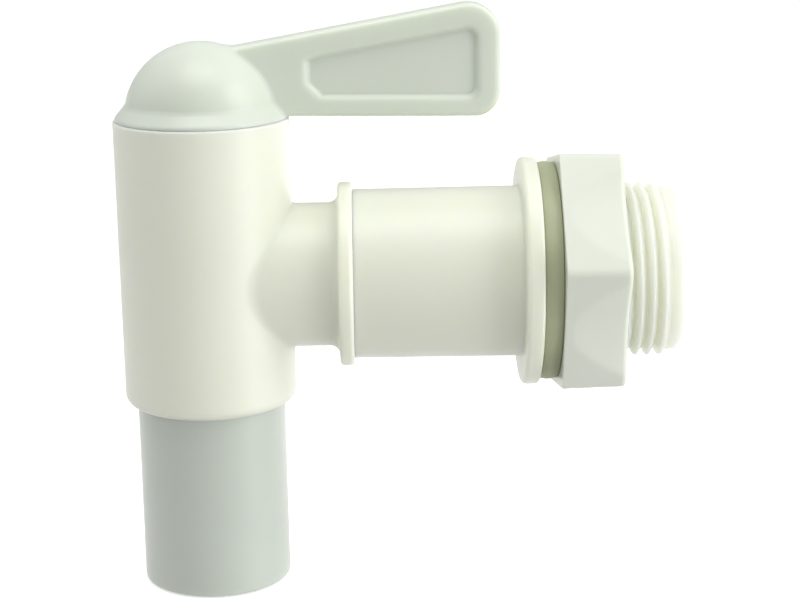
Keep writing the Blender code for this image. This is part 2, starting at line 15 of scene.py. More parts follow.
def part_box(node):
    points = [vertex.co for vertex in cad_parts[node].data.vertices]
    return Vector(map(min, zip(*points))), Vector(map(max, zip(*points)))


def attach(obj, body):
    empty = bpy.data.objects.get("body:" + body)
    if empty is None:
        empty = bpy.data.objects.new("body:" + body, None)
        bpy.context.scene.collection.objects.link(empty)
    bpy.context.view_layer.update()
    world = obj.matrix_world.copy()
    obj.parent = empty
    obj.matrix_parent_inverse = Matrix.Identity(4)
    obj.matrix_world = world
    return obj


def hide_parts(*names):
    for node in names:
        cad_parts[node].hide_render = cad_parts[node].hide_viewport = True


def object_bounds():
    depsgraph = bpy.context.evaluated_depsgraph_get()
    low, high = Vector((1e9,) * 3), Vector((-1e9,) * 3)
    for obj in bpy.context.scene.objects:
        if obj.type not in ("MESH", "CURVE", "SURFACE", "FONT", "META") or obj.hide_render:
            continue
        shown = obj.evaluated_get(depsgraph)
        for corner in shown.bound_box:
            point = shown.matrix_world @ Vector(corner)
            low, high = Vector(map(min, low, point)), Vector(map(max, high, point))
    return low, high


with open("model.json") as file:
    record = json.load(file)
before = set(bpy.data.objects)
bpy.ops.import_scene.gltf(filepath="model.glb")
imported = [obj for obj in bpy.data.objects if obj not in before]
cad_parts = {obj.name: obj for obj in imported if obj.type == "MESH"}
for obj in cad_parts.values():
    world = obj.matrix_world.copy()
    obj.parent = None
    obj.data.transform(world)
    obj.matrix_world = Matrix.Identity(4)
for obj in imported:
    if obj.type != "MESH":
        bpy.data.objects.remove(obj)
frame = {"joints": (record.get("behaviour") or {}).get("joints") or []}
cad_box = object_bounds()

# ---------------------------------------------------------------- tap body
# Barrel, neck and collar come out of one mould in natural polyethylene, cloudy and a little see-through.
# The barrel is bored right through for the plug, and a short spigot behind the collar takes the tail.
mm = 0.001
lever_turn = next(joint for joint in frame["joints"] if joint["name"] == "lever_turn")
barrel_x = lever_turn["pos_m"][0] / mm
barrel_r = barrel_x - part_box("tap_body")[0].x / mm
barrel_top = 24.2
barrel_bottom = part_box("tap_body")[0].z / mm
barrel_bore_r = 11.45
rim_round = 0.25
foot_round = 1.7
bead_z = -15.6               # snap bead that keeps the plug down
bead_height = 0.45
bead_half = 0.4
moulded_edge = 0.25          # rounding on the edges of every bore and pocket

neck_r = 10.9
neck_fillet = 0.6
neck_bore_r = 7.6
seat_pocket_r = 8.7
seat_pocket_end = 14.55      # from the barrel's axis
collar_start = 20.0
collar_end = 22.2
collar_r = 13.91
collar_round = 0.55
collar_fillet = 1.5
spigot_r = 9.91
spigot_round = 0.3
spigot_bore_r = 8.21
spigot_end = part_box("tap_body")[1].x / mm - barrel_x


def round_max(a, b, radius, lean=0):
    """Distance to what two solids share, with the edge between them rounded.

    lean is the cosine of the angle between the ways the two faces look, where they aren't square.
    """
    p = a + radius
    q = b + radius
    between = (p > lean * q) & (q > lean * p)
    corner = np.sqrt(np.maximum(p ** 2 + q ** 2 - 2 * lean * p * q, 0) / (1 - lean ** 2))
    return np.where(between, corner, np.maximum(p, q)) - radius


def round_min(a, b, radius):
    """Distance to two solids joined, with a fillet where they meet."""
    return -round_max(-a, -b, radius)


def steps(start, *stretches):
    """Grid lines from start: each stretch is (end, spacing), so that small features get a finer grid."""
    lines = [np.array([start])]
    for end, spacing in stretches:
        count = math.ceil((end - lines[-1][-1]) / spacing)
        lines.append(np.linspace(lines[-1][-1], end, count + 1)[1:])
    return np.concatenate(lines)


def settle(name, points, faces):
    """Mesh object from points in millimetres, its doubles merged and its faces turned outwards."""
    mesh = bpy.data.meshes.new(name)
    mesh.from_pydata((points * mm).tolist(), [], faces.tolist())
    bm = bmesh.new()
    bm.from_mesh(mesh)
    bmesh.ops.remove_doubles(bm, verts=bm.verts, dist=1e-6)
    bmesh.ops.dissolve_degenerate(bm, edges=bm.edges, dist=1e-6)
    bmesh.ops.recalc_face_normals(bm, faces=bm.faces)
    bm.to_mesh(mesh)
    bm.free()
    mesh.shade_smooth()
    piece = bpy.data.objects.new(name, mesh)
    bpy.context.scene.collection.objects.link(piece)
    return piece


def skin(name, distance, *grid_lines):
    """Closed mesh of the surface where a distance function, in millimetres, is zero.

    Each grid cell that the surface crosses gets one point, which is then moved onto the surface.
    """
    values = distance(*np.meshgrid(*grid_lines, indexing='ij'))
    cells = tuple(size - 1 for size in values.shape)
    total = np.zeros((math.prod(cells), 3))
    count = np.zeros(math.prod(cells))
    quads = []
    for axis in range(3):
        near = np.moveaxis(np.moveaxis(values, axis, 0)[:-1], 0, axis)
        far = np.moveaxis(np.moveaxis(values, axis, 0)[1:], 0, axis)
        corner = np.nonzero((near < 0) != (far < 0))
        share = near[corner] / (near[corner] - far[corner])
        point = np.stack([lines[i] for lines, i in zip(grid_lines, corner)], axis=1)
        point[:, axis] += share * np.diff(grid_lines[axis])[corner[axis]]
        around = []
        for u, v in ((0, 0), (-1, 0), (-1, -1), (0, -1)):
            cell = list(corner)
            cell[(axis + 1) % 3] = cell[(axis + 1) % 3] + u
            cell[(axis + 2) % 3] = cell[(axis + 2) % 3] + v
            around.append(np.ravel_multi_index(cell, cells))
            np.add.at(total, around[-1], point)
            np.add.at(count, around[-1], 1)
        loop = np.stack(around, axis=1)
        leaves = near[corner] < 0
        quads.append(np.where(leaves[:, None], loop, loop[:, ::-1]))
    used, faces = np.unique(np.concatenate(quads), return_inverse=True)
    points = total[used] / count[used, None]

    nudge = 0.005
    least_steep = 0.25
    for _ in range(4):
        rises = [distance(*(points + way).T) - distance(*(points - way).T) for way in nudge * np.eye(3)]
        gradient = np.stack([rise / (2 * nudge) for rise in rises], axis=1)
        steepness = np.maximum((gradient ** 2).sum(axis=1), least_steep)
        points -= (distance(*points.T) / steepness)[:, None] * gradient
    return settle(name, points + (barrel_x, 0, 0), faces.reshape(-1, 4))


def body_distance(x, y, z):
    """Distance to the tap body's surface. x is measured from the barrel's axis."""
    r = np.hypot(x, y)           # from the barrel's axis
    q = np.hypot(y, z)           # from the neck's axis
    barrel = round_max(round_max(r - barrel_r, z - barrel_top, rim_round),
                       barrel_bottom - z, foot_round)
    collar_middle = (collar_start + collar_end) / 2
    collar_half = (collar_end - collar_start) / 2
    collar = round_max(q - collar_r, np.abs(x - collar_middle) - collar_half, collar_round)
    neck = np.maximum(q - neck_r, np.maximum(-x, x - collar_middle))
    spigot = round_max(q - spigot_r, np.maximum(x - spigot_end, -x), spigot_round)
    solid = round_min(barrel, round_min(neck, collar, collar_fillet), neck_fillet)
    solid = np.minimum(solid, spigot)

    bead = bead_height * np.clip(1 - (np.abs(z - bead_z) - bead_half) / bead_height, 0, 1)
    bore = r - barrel_bore_r + bead
    widening = np.clip((x - collar_start + collar_fillet) / collar_fillet, 0, 1)
    water_way = q - neck_bore_r - (spigot_bore_r - neck_bore_r) * widening
    seat_pocket = np.maximum(q - seat_pocket_r, x - seat_pocket_end)
    hollow = np.minimum(bore, np.maximum(np.minimum(water_way, seat_pocket), -x))
    return round_max(solid, -hollow, moulded_edge)


# The grid is finest at the collar, the foot and the upper rim, where the roundings are small.
tap_body = skin("moulded_tap_body", body_distance,
                steps(-13.5, (16.0, 0.4), (19.3, 0.5), (22.8, 0.22), (27.6, 0.5)),
                steps(-14.4, (14.4, 0.4)),
                steps(-19.7, (-16.0, 0.25), (14.4, 0.45), (23.2, 0.8), (24.6, 0.2)))


def cloudy_plastic(name, thin, thick, roughness, depth, spread):
    """Moulded plastic that light soaks into. thin and thick are its two shades, spread is in millimetres."""
    material = bpy.data.materials.new(name)
    material.use_nodes = True
    nodes = material.node_tree.nodes
    link = material.node_tree.links.new
    shader = nodes["Principled BSDF"]
    place = nodes.new('ShaderNodeTexCoord')

    # Broad flow marks, where the two shades of plastic meet.
    flow = nodes.new('ShaderNodeTexNoise')
    flow.inputs["Scale"].default_value = 45
    flow.inputs["Detail"].default_value = 1
    link(place.outputs["Object"], flow.inputs["Vector"])
    shades = nodes.new('ShaderNodeValToRGB')
    shades.color_ramp.interpolation = 'EASE'
    shades.color_ramp.elements[0].position = 0.2
    shades.color_ramp.elements[0].color = (*thin, 1)
    shades.color_ramp.elements[1].position = 0.8
    shades.color_ramp.elements[1].color = (*thick, 1)
    link(flow.outputs["Fac"], shades.inputs["Fac"])
    link(shades.outputs["Color"], shader.inputs["Base Color"])

    # Uneven sheen, a few millimetres across.
    handled = nodes.new('ShaderNodeTexNoise')
    handled.inputs["Scale"].default_value = 260
    handled.inputs["Detail"].default_value = 6
    link(place.outputs["Object"], handled.inputs["Vector"])
    sheen_range = nodes.new('ShaderNodeMapRange')
    sheen_range.inputs["To Min"].default_value = roughness - 0.06
    sheen_range.inputs["To Max"].default_value = roughness + 0.08
    link(handled.outputs["Fac"], sheen_range.inputs["Value"])
    link(sheen_range.outputs["Result"], shader.inputs["Roughness"])

    # Fine relief of the mould's own surface.
    peel = nodes.new('ShaderNodeTexNoise')
    peel.inputs["Scale"].default_value = 900
    peel.inputs["Detail"].default_value = 4
    link(place.outputs["Object"], peel.inputs["Vector"])
    relief = nodes.new('ShaderNodeBump')
    relief.inputs["Strength"].default_value = 0.25
    relief.inputs["Distance"].default_value = 0.02 * mm
    link(peel.outputs["Fac"], relief.inputs["Height"])
    link(relief.outputs["Normal"], shader.inputs["Normal"])

    shader.inputs["Subsurface Weight"].default_value = depth
    shader.inputs["Subsurface Radius"].default_value = (1.0, 0.95, 0.7)
    shader.inputs["Subsurface Scale"].default_value = spread * mm
    shader.inputs["IOR"].default_value = 1.5
    return material


natural_polyethylene = cloudy_plastic("natural_polyethylene", (0.80, 0.82, 0.71), (0.785, 0.805, 0.69),
                                      roughness=0.38, depth=1.0, spread=1.6)
tap_body.data.materials.append(natural_polyethylene)
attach(tap_body, "body")
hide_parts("tap_body")

# ---------------------------------------------------------------- inlet seal
# A silicone ring in a pocket at the neck's mouth. Its front is hollowed to the plug's radius,
# so that the plug wipes across it as the lever turns.
seal_r = 8.6
seal_bore_r = 7.0
seal_end = 14.45
plug_r = 11.3
seal_gap = 0.08              # kept clear of what it seals on


def loft(name, loops):
    """Closed mesh through a series of closed loops of points. The last loop lies on the first."""
    index = np.arange(loops.shape[0] * loops.shape[1]).reshape(loops.shape[:2])
    across = np.roll(index, -1, axis=1)
    quads = np.stack((index[:-1], across[:-1], across[1:], index[1:]), axis=-1)
    return settle(name, loops.reshape(-1, 3), quads.reshape(-1, 4))


def around_shank(angles, x, r):
    """Points at places x along the shank's axis and radii r, one loop for each angle from +Y to +Z."""
    turn = angles[:, None]
    x = np.broadcast_to(x, (len(angles), np.shape(x)[-1]))
    return np.stack((x, r * np.cos(turn), r * np.sin(turn)), axis=-1)


def arc(centre_x, centre_r, radius, start, end, count):
    """Points (x, r) along a round edge, from start to end in degrees from +X."""
    angle = np.radians(np.linspace(start, end, count + 1))
    return np.stack((centre_x + radius * np.cos(angle), centre_r + radius * np.sin(angle)), axis=1)


whole_turn = np.linspace(0, 2 * math.pi, 121)
seal_edge = 0.25
seal_section = np.concatenate((
    arc(seal_end - seal_edge, seal_r - seal_edge, seal_edge, 0, 90, 4),
    arc(seal_edge, seal_r - seal_edge, seal_edge, 90, 180, 4),
    arc(seal_edge, seal_bore_r + seal_edge, seal_edge, 180, 270, 4),
    arc(seal_end - seal_edge, seal_bore_r + seal_edge, seal_edge, 270, 360, 4),
))
seal_loops = around_shank(whole_turn, seal_section[:, 0], seal_section[:, 1][None])
front = np.sqrt((plug_r + seal_gap) ** 2 - seal_loops[..., 1] ** 2)
share = seal_loops[..., 0] / seal_end
seal_loops[..., 0] = barrel_x + front + share * (seal_end - front)
inlet_seal = loft("silicone_inlet_seal", seal_loops)
pale_silicone = cloudy_plastic("pale_silicone", (0.74, 0.75, 0.68), (0.69, 0.70, 0.62),
                               roughness=0.55, depth=0.4, spread=1.5)
inlet_seal.data.materials.append(pale_silicone)
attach(inlet_seal, "body")
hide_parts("inlet_seal")

# ---------------------------------------------------------------- lever, plug and spout
# One moulding in white polypropylene. The domed hub closes the barrel, the hollow plug turns in it
# with a side port for the water, and the plug's lower end is the spout.
lever_seat = barrel_top - 0.03   # just inside the rim, so that no gap shows
spout_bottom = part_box("lever_plug")[0].z / mm
plug_bore_r = 8.8
port_r = 7.0
spout_lip = 0.45
ring_z = 10.4
groove_half = 0.88
groove_r = 9.69
bead_groove_half = 1.0
bead_groove_r = 10.85
plug_overlap = 1.0           # how far the plug runs up into the hub

dome_r = 11.4
dome_fillet = 0.25
seat_edge = 0.03
shoulder_z = 26.5            # where the collar's sloping shoulder meets the dome
shoulder_slope = math.radians(49)
rim_step = 0.3               # the hub's rim stands this far inside the barrel's
rim_r = barrel_r - rim_step
shoulder_round = 0.7

lever_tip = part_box("lever_plug")[1].x / mm - barrel_x
lever_half = 2.5
lever_underside = 24.7       # height of the lower edge's line over the barrel's axis
lever_droop = math.radians(0.9)
lever_rise = math.radians(9.9)
lever_top_at_root = 33.89    # height of the top edge's line over the barrel's axis
lever_tip_round = 4.8
lever_heel_round = 3.9
lever_edge = 0.9
lever_fillet = 0.6
pocket_depth = 0.8
pocket_left = 15.6
pocket_right = 41.4
pocket_rim = 2.5
pocket_top_rim = 3.2
pocket_corner = 2.0
pocket_root_corner = 0.8
pocket_end = pocket_left + 1     # the lines of its two slanting end walls are set out from here
pocket_root_height = 33.5
pocket_root_facing = 118
pocket_heel_height = lever_underside + pocket_rim + 1
pocket_heel_facing = 225
pocket_heel_lean = 0.6
pocket_floor_round = 0.3
pocket_rim_round = 0.3


def slanted(x, z, through_x, through_z, facing):
    """Distance past a straight edge through a point. facing is its outward direction in degrees."""
    angle = math.radians(facing)
    return (x - through_x) * math.cos(angle) + (z - through_z) * math.sin(angle)


def lever_distance(x, y, z):
    """Distance to the surface of the lever moulding. x is measured from the barrel's axis."""
    r = np.hypot(x, y)
    dome = np.hypot(r, z - barrel_top) - dome_r
    foot_r = math.sqrt(dome_r ** 2 - (shoulder_z - barrel_top) ** 2)
    shoulder = (z - shoulder_z) * math.cos(shoulder_slope) + (r - foot_r) * math.sin(shoulder_slope)
    collar = round_max(r - rim_r, shoulder, shoulder_round, lean=math.sin(shoulder_slope))
    collar = np.maximum(collar, z - shoulder_z)

    top = slanted(x, z, 0, lever_top_at_root, 90 + math.degrees(lever_rise))
    under = slanted(x, z, 0, lever_underside, -90 - math.degrees(lever_droop))
    outline = np.maximum(round_max(top, x - lever_tip, lever_tip_round, lean=-math.sin(lever_rise)),
                         round_max(under, x - lever_tip, lever_heel_round, lean=-math.sin(lever_droop)))
    outline = np.maximum(outline, -x)
    paddle = round_max(outline, np.abs(y) - lever_half, lever_edge)

    pocket = np.maximum(round_max(top + pocket_top_rim, x - pocket_right, pocket_corner,
                                  lean=-math.sin(lever_rise)),
                        round_max(under + pocket_rim, x - pocket_right, pocket_corner))
    pocket = round_max(pocket, pocket_left - x, pocket_root_corner)
    heel = slanted(x, z, pocket_end, pocket_heel_height, pocket_heel_facing)
    pocket = round_max(pocket, heel, pocket_root_corner, pocket_heel_lean)
    root = slanted(x, z, pocket_end, pocket_root_height, pocket_root_facing)
    pocket = round_max(pocket, root, pocket_root_corner)
    sunk = lever_half - np.abs(y)
    half_square = math.sqrt(0.5)     # the pocket's walls slope at 45 degrees
    pocket = round_max((pocket + sunk) * half_square, sunk - pocket_depth, pocket_floor_round, half_square)

    paddle = round_max(paddle, -pocket, pocket_rim_round)
    cap = round_min(round_min(dome, collar, dome_fillet), paddle, lever_fillet)
    cap = round_max(cap, lever_seat - z, seat_edge)

    plug = np.maximum(round_max(r - plug_r, spout_bottom - z, spout_lip), z - barrel_top - plug_overlap)
    ring_groove = np.maximum(np.abs(np.abs(z) - ring_z) - groove_half, groove_r - r)
    bead_groove = np.maximum(np.abs(z - bead_z) - bead_groove_half, bead_groove_r - r)
    port = np.maximum(np.hypot(x, z) - port_r, y)
    bore = np.where(z < barrel_top, r, np.hypot(r, z - barrel_top)) - plug_bore_r
    hollow = np.minimum(np.minimum(ring_groove, bead_groove), np.minimum(port, bore))
    return round_max(np.minimum(cap, plug), -hollow, moulded_edge)


# The grid is finest at the spout's lip, the hub's foot and the lever.
lever_plug = skin("moulded_lever_and_plug", lever_distance,
                  steps(-13.4, (13.4, 0.32), (40.0, 0.36), (lever_tip + 0.4, 0.25)),
                  steps(-13.4, (-3.0, 0.36), (3.0, 0.22), (13.4, 0.36)),
                  steps(spout_bottom - 0.4, (-46.5, 0.2), (-18.0, 0.9), (14.0, 0.45), (24.0, 0.9),
                        (28.5, 0.22), (42.2, 0.3)))
white_polypropylene = cloudy_plastic("white_polypropylene", (0.65, 0.70, 0.615), (0.635, 0.685, 0.595),
                                     roughness=0.30, depth=0.8, spread=2.0)
# A darker copy of the white polypropylene for the spout: painted shade for the dimmer light low down under
# the barrel.
spout_polypropylene_painted_shade = cloudy_plastic("spout_polypropylene_painted_shade", (0.575, 0.62, 0.56), (0.555, 0.60, 0.54),
                                     roughness=0.30, depth=0.8, spread=2.0)
lever_plug.data.materials.append(white_polypropylene)
lever_plug.data.materials.append(spout_polypropylene_painted_shade)
for face in lever_plug.data.polygons:
    if face.center.z < barrel_bottom * mm:
        face.material_index = 1      # painted shade: the spout, lower down under the barrel, gets a darker copy of the same plastic
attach(lever_plug, "lever")
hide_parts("lever_plug")

# ---------------------------------------------------------------- plug rings
# Two round silicone rings in grooves above and below the port. They seal the plug in the barrel.
ring_section_r = 0.8
ring_middle_r = barrel_bore_r - seal_gap - ring_section_r
section_angles = np.linspace(0, 2 * math.pi, 25)[:-1]
for name, node, height in (("upper_silicone_ring", "upper_plug_ring", ring_z),
                           ("lower_silicone_ring", "lower_plug_ring", -ring_z)):
    around = whole_turn[:, None]
    out = ring_middle_r + ring_section_r * np.cos(section_angles)
    up = height + ring_section_r * np.sin(section_angles)
    up = np.broadcast_to(up, (len(whole_turn), len(section_angles)))
    ring = loft(name, np.stack((barrel_x + out * np.cos(around), out * np.sin(around), up), axis=-1))
    ring.data.materials.append(pale_silicone)
    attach(ring, "lever")
    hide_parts(node)

# ---------------------------------------------------------------- threaded tail
# Sleeve, flange and G 3/4 shank are a second moulding in the same plastic, welded onto the spigot.
# The thread is right-hand, and it stops short of the plain rounded end.
pitch = 25.4 / 14            # 14 threads to the inch
thread_r = 26.441 / 2
thread_depth = 1.162
thread_root_r = thread_r - thread_depth
thread_crest_x = 0.444       # a crest's place along the shank, straight below its axis
thread_start = 1.2
thread_finish = 19.35
thread_fade = 0.55           # length over which its last turn dies out
thread_runout = 1.5          # length over which its root rises to the plain end
shank_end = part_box("threaded_tail")[1].x / mm
shank_end_r = 12.4
shank_round = 1.5
shank_mouth_round = 0.3
tail_bore_r = 10.01
sleeve_start = barrel_x + collar_end - 0.03      # just inside the collar, so that no gap shows
sleeve_edge = 0.02
sleeve_r = 12.81
sleeve_foot_r = sleeve_r + 0.15      # it widens a little towards the flange
flange_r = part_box("threaded_tail")[1].y / mm
flange_thickness = 2.5
flange_back_round = 0.7
flange_front_round = 0.35
flange_fillet = 0.4
rows_a_turn = 12


def thread(angles, start, end, clearance=0):
    """(x, r) along the helical thread, row by row, one line for each angle from +Y to +Z."""
    turns = math.ceil((end - start) / pitch) + 2
    row = np.arange(turns * rows_a_turn + 1) / rows_a_turn - 1
    first = start - (start - thread_crest_x) % pitch
    helix = (angles[:, None] + math.pi / 2) / (2 * math.pi)
    x = np.clip(first + pitch * (row[None] + helix), start, end)
    height = 0.5 + 0.5 * np.cos(2 * math.pi * ((x - thread_crest_x) / pitch - helix))
    fade = np.clip((x - thread_start) / thread_fade, 0, 1) * np.clip((thread_finish - x) / thread_fade, 0, 1)
    runout = np.clip((x - thread_finish + thread_runout) / thread_runout, 0, 1)
    plain_r = thread_root_r + (shank_end_r - thread_root_r) * runout
    r = plain_r + (thread_r - plain_r) * height * fade
    return x, r + clearance


tail_turn = np.linspace(0, 2 * math.pi, 181)
thread_x, thread_radii = thread(tail_turn, 0, shank_end - shank_round)


def with_ends(before, x, r, after):
    """One section for each angle: fixed points, then the thread's own, then fixed points."""
    lines = len(x)
    xs = [np.tile(before[:, 0], (lines, 1)), x, np.tile(after[:, 0], (lines, 1))]
    rs = [np.tile(before[:, 1], (lines, 1)), r, np.tile(after[:, 1], (lines, 1))]
    return np.concatenate(xs, axis=1), np.concatenate(rs, axis=1)


sleeve_and_flange = np.concatenate((
    [(sleeve_start, tail_bore_r)],
    arc(sleeve_start + sleeve_edge, sleeve_r - sleeve_edge, sleeve_edge, 180, 90, 3),
    [(-flange_thickness - flange_fillet, sleeve_foot_r)],
    arc(-flange_thickness - flange_fillet, sleeve_foot_r + flange_fillet, flange_fillet, 270, 360, 4),
    arc(-flange_thickness + flange_back_round, flange_r - flange_back_round, flange_back_round, 180, 90, 6),
    arc(-flange_front_round, flange_r - flange_front_round, flange_front_round, 90, 0, 5),
    [(0, (flange_r + thread_root_r) / 2)],
))
shank_tip = np.concatenate((
    arc(shank_end - shank_round, shank_end_r - shank_round, shank_round, 90, 0, 8)[1:],
    arc(shank_end - shank_mouth_round, tail_bore_r + shank_mouth_round, shank_mouth_round, 0, -90, 3),
    [(x, tail_bore_r) for x in np.linspace(shank_end - 2, sleeve_start + 2, 12)],
))
tail_x, tail_r = with_ends(sleeve_and_flange, thread_x, thread_radii, shank_tip)
threaded_tail = loft("moulded_threaded_tail", around_shank(tail_turn, tail_x, tail_r))
threaded_tail.data.set_sharp_from_angle(angle=math.radians(50))
shank_polyethylene = cloudy_plastic("shank_polyethylene", (0.79, 0.81, 0.70), (0.775, 0.795, 0.68),
                                    roughness=0.38, depth=1.0, spread=7.0)
threaded_tail.data.materials.append(natural_polyethylene)
threaded_tail.data.materials.append(shank_polyethylene)
for face in threaded_tail.data.polygons:
    if face.center.x > 0:
        face.material_index = 1      # the thick threaded shank lets light spread further
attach(threaded_tail, "body")
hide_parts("threaded_tail")

# ---------------------------------------------------------------- flange gasket
# A soft olive washer, loose on the shank. The flange and the nut squeeze a tank's wall against it.
gasket_squeeze = 0.08        # how far it bulges towards the flange and the nut
gasket_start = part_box("flange_gasket")[0].x / mm - gasket_squeeze
gasket_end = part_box("flange_gasket")[1].x / mm + gasket_squeeze
gasket_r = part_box("flange_gasket")[1].y / mm
gasket_bore_r = thread_r + 0.15      # clear of the thread's crests
gasket_round = 0.4
gasket_bulge = 0.12
gasket_side = 0.6            # of its thickness, from each side face to where the bulge starts
gasket_rim = np.linspace(-1, 1, 9)
gasket_middle = (gasket_start + gasket_end) / 2
gasket_section = np.concatenate((
    arc(gasket_start + gasket_round, gasket_r - gasket_bulge - gasket_round, gasket_round, 180, 120, 4),
    np.stack((gasket_middle + gasket_rim * ((gasket_end - gasket_start) / 2 - gasket_side),
              gasket_r - gasket_bulge * gasket_rim ** 2), axis=1),
    arc(gasket_end - gasket_round, gasket_r - gasket_bulge - gasket_round, gasket_round, 60, 0, 4),
    [(gasket_end, gasket_bore_r), (gasket_start, gasket_bore_r)],
))
gasket_loops = around_shank(tail_turn, gasket_section[:, 0], gasket_section[:, 1][None])
flange_gasket = loft("soft_flange_gasket", gasket_loops)
flange_gasket.data.set_sharp_from_angle(angle=math.radians(50))

olive_rubber = bpy.data.materials.new("olive_rubber")
olive_rubber.use_nodes = True
nodes = olive_rubber.node_tree.nodes
link = olive_rubber.node_tree.links.new
rubber_shader = nodes["Principled BSDF"]
rubber_place = nodes.new('ShaderNodeTexCoord')
rubber_cloud = nodes.new('ShaderNodeTexNoise')
rubber_cloud.inputs["Scale"].default_value = 220
rubber_cloud.inputs["Detail"].default_value = 5
rubber_shades = nodes.new('ShaderNodeValToRGB')
rubber_shades.color_ramp.elements[0].position = 0.3
rubber_shades.color_ramp.elements[0].color = (0.38, 0.41, 0.26, 1)
rubber_shades.color_ramp.elements[1].position = 0.7
rubber_shades.color_ramp.elements[1].color = (0.43, 0.46, 0.30, 1)
rubber_grain = nodes.new('ShaderNodeTexNoise')
rubber_grain.inputs["Scale"].default_value = 1800
rubber_grain.inputs["Detail"].default_value = 3
rubber_relief = nodes.new('ShaderNodeBump')
rubber_relief.inputs["Strength"].default_value = 0.4
rubber_relief.inputs["Distance"].default_value = 0.05 * mm
rubber_dull = nodes.new('ShaderNodeMapRange')
rubber_dull.inputs["To Min"].default_value = 0.5
rubber_dull.inputs["To Max"].default_value = 0.75
link(rubber_place.outputs["Object"], rubber_cloud.inputs["Vector"])
link(rubber_place.outputs["Object"], rubber_grain.inputs["Vector"])
link(rubber_cloud.outputs["Fac"], rubber_shades.inputs["Fac"])
link(rubber_shades.outputs["Color"], rubber_shader.inputs["Base Color"])
link(rubber_cloud.outputs["Fac"], rubber_dull.inputs["Value"])
link(rubber_dull.outputs["Result"], rubber_shader.inputs["Roughness"])
link(rubber_grain.outputs["Fac"], rubber_relief.inputs["Height"])
link(rubber_relief.outputs["Normal"], rubber_shader.inputs["Normal"])
flange_gasket.data.materials.append(olive_rubber)
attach(flange_gasket, "gasket")
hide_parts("flange_gasket")

# ---------------------------------------------------------------- back nut
# A bright white hexagonal nut, moulded with a shallow scoop in each face that deepens towards its
# outer end. Its corners and edges are rounded, and its bore carries the same thread as the shank.
nut_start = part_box("back_nut")[0].x / mm
nut_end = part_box("back_nut")[1].x / mm
nut_width = nut_end - nut_start
nut_flat = thread_r + 4.15
nut_taper = 0.2              # lost from the flats' distance at the outer end
nut_turn = math.radians(-11.8)
nut_corner_soft = 0.8
nut_inner_round = 0.18
nut_outer_round = 0.7
scoop_start = 1.1
scoop_depth = 1.4
scoop_width = 16.0
scoop_soft = 0.06
nut_gap = 0.15               # clearance between its thread and the shank's
nut_mouth = 0.225            # how far past the thread its lead-in cones open


def soft_min(a, b, soft):
    """The lesser of two lengths, with the change from one to the other made gradual."""
    blend = np.clip(0.5 + 0.5 * (b - a) / soft, 0, 1)
    return b + (a - b) * blend - soft * blend * (1 - blend)


def nut_radius(angles, x):
    """Radius of the nut's outside at angles from +Y to +Z and places along the shank."""
    along = np.clip(x - nut_start, 0, nut_width)
    from_flat = (angles - nut_turn) % (math.pi / 3) - math.pi / 6
    flat = nut_flat - nut_taper * along / nut_width
    depth = scoop_depth * (along - scoop_start) / (nut_width - scoop_start)
    scoop_r = (scoop_width ** 2 / 4 + scoop_depth ** 2) / (2 * scoop_depth)
    bend = np.sin(from_flat) ** 2 / scoop_r
    root = np.sqrt(np.cos(from_flat) ** 2 - 2 * bend * (flat - depth))
    scoop = 2 * (flat - depth) / (np.cos(from_flat) + root)
    face = soft_min(flat / np.cos(from_flat), scoop, scoop_soft)
    next_flat = flat / np.cos(math.pi / 3 - np.abs(from_flat))
    return soft_min(face, next_flat, nut_corner_soft)


# Rows of points lie closer together towards the corners and the rounded edges.
eased = np.sin(np.linspace(-math.pi / 2, math.pi / 2, 41))[1:] * math.pi / 6
nut_angles = np.concatenate([[0]] + [math.pi / 6 + k * math.pi / 3 + eased for k in range(6)]) + nut_turn
nut_rows = np.concatenate((
    nut_start + nut_inner_round * (1 - np.cos(np.radians(np.linspace(0, 90, 6)))),
    np.linspace(nut_start + nut_inner_round, nut_end - nut_outer_round, 34)[1:-1],
    nut_end - nut_outer_round * (1 - np.sin(np.radians(np.linspace(0, 90, 9)))),
))


def edge_inset(past, radius):
    """How far a rounded edge falls back, at a distance past the place where its rounding starts."""
    return radius - np.sqrt(np.maximum(radius ** 2 - np.maximum(past, 0) ** 2, 0))


inset = (edge_inset(nut_start + nut_inner_round - nut_rows, nut_inner_round)
         + edge_inset(nut_rows - nut_end + nut_outer_round, nut_outer_round))
nut_outside_r = nut_radius(nut_angles[:, None], nut_rows[None]) - inset
nut_outside_x = np.broadcast_to(nut_rows, nut_outside_r.shape)
nut_thread_x, nut_thread_r = thread(nut_angles, nut_start, nut_end, nut_gap)
mouth = thread_r + nut_gap + nut_mouth
cone = np.maximum(mouth - (nut_thread_x - nut_start), mouth - (nut_end - nut_thread_x))
nut_thread_r = np.maximum(nut_thread_r, cone)
nut_loops = around_shank(nut_angles, np.concatenate((nut_outside_x, nut_thread_x[:, ::-1]), axis=1),
                         np.concatenate((nut_outside_r, nut_thread_r[:, ::-1]), axis=1))
back_nut = loft("hex_back_nut", nut_loops)
back_nut.data.set_sharp_from_angle(angle=math.radians(50))
nut_polypropylene = cloudy_plastic("nut_polypropylene", (0.69, 0.72, 0.64), (0.68, 0.71, 0.625),
                                   roughness=0.34, depth=0.6, spread=1.2)
back_nut.data.materials.append(nut_polypropylene)
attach(back_nut, "nut")
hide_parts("back_nut")

